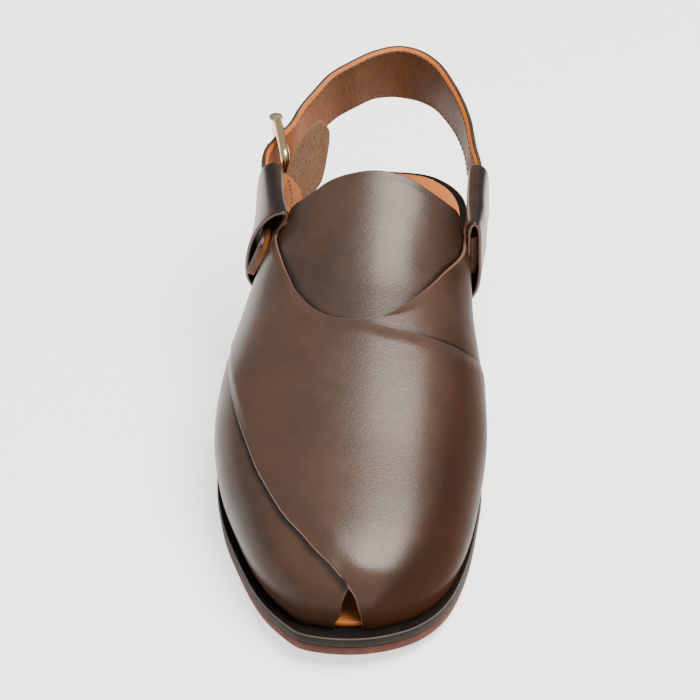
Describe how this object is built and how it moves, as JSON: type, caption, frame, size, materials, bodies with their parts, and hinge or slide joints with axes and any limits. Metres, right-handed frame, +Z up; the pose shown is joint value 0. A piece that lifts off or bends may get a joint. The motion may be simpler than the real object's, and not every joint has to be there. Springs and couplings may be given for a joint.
{
  "type": "peshawari chappal",
  "caption": "Closed-toe leather sandal with two crossing vamp bands, a tongue, a buckled heel strap and a low stacked heel.",
  "frame": {"origin": "centre of the bounding box's footprint, on the ground under the sole", "axes": "+Z up, +Y from the toe to the heel, +X to the inner side of the foot (away from the buckle)"},
  "size_m": [0.1102, 0.292, 0.1039],
  "materials": {
    "leather": "burnished dark brown, satin",
    "strap": "dark brown outside, tan lining inside",
    "tongue": "burnished dark brown, satin",
    "lining": "smooth tan",
    "suede": "brown flesh side, matt",
    "welt": "black edge dressing",
    "sole": "red-brown, satin",
    "gold": "pale gold, polished"
  },
  "bodies": {
    "root": {"upper": "leather", "tongue": "tongue", "heel_strap": "strap", "buckle_flap": "suede", "buckle_frame": "gold", "buckle_prong": "gold", "insole": "lining", "midsole": "welt", "outsole": "sole", "heel_stack": "welt", "heel_top_piece": "sole"}
  },
  "joints": []
}
